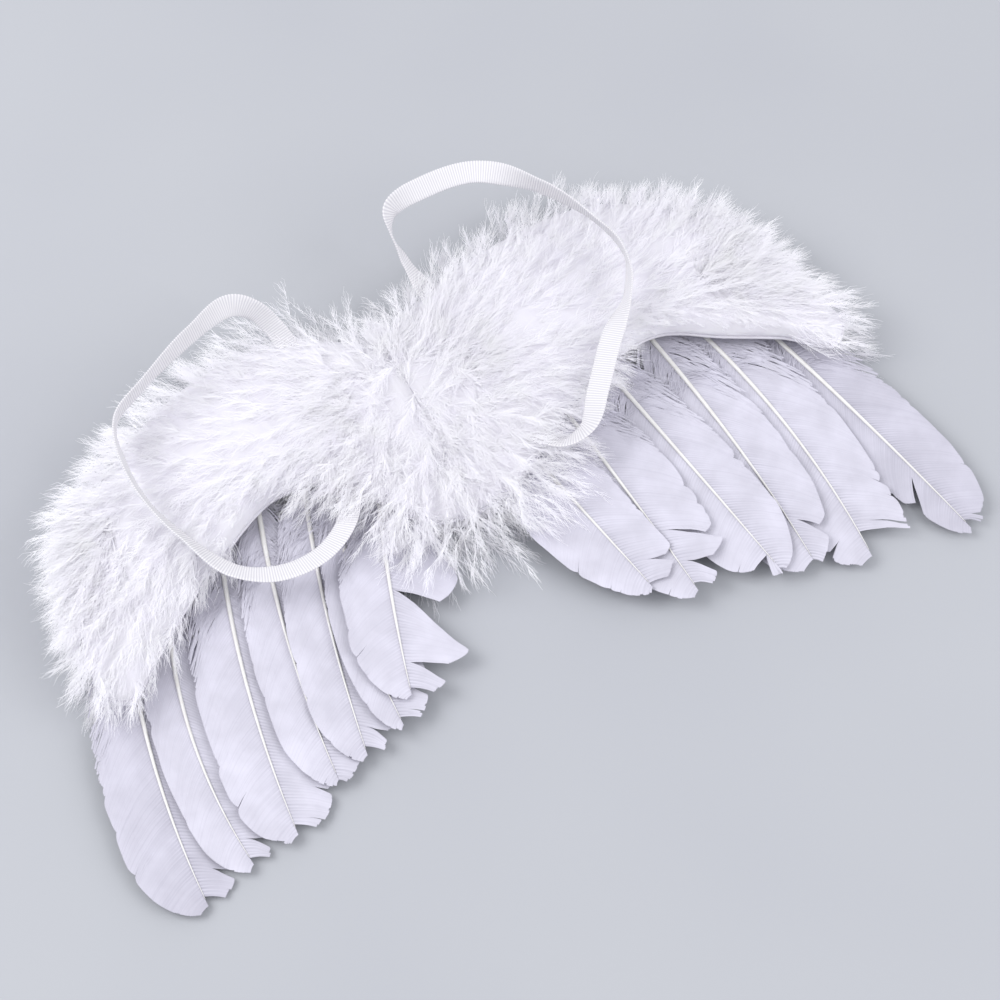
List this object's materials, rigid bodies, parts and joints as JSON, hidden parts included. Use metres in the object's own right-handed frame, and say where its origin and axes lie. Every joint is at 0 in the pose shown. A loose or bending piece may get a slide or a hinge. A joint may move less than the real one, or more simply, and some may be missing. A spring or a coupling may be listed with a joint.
{
  "type": "angel wings",
  "caption": "Pair of white baby feather wings with fluffy down on a felt backing and two elastic arm loops, lying with the loops up.",
  "frame": {"origin": "on the surface that the wings lie on, under the middle of their outline", "axes": "+X across the wings, +Y up the wings towards the neck, +Z from the display side to the side with the arm loops"},
  "size_m": [0.395, 0.2518, 0.052],
  "materials": {
    "felt": "white needled felt",
    "feather": "bleached goose feather with ivory quills",
    "down": "white marabou down",
    "elastic": "ribbed knitted elastic"
  },
  "bodies": {
    "root": {"backing": "felt", "feather_right_1": "feather", "feather_right_2": "feather", "feather_right_3": "feather", "feather_right_4": "feather", "feather_right_5": "feather", "feather_right_6": "feather", "feather_left_1": "feather", "feather_left_2": "feather", "feather_left_3": "feather", "feather_left_4": "feather", "feather_left_5": "feather", "feather_left_6": "feather", "feather_left_7": "feather", "down_front_right": "down", "down_front_left": "down", "down_back_right": "down", "down_back_left": "down", "strap_right": "elastic", "strap_left": "elastic"}
  },
  "joints": []
}
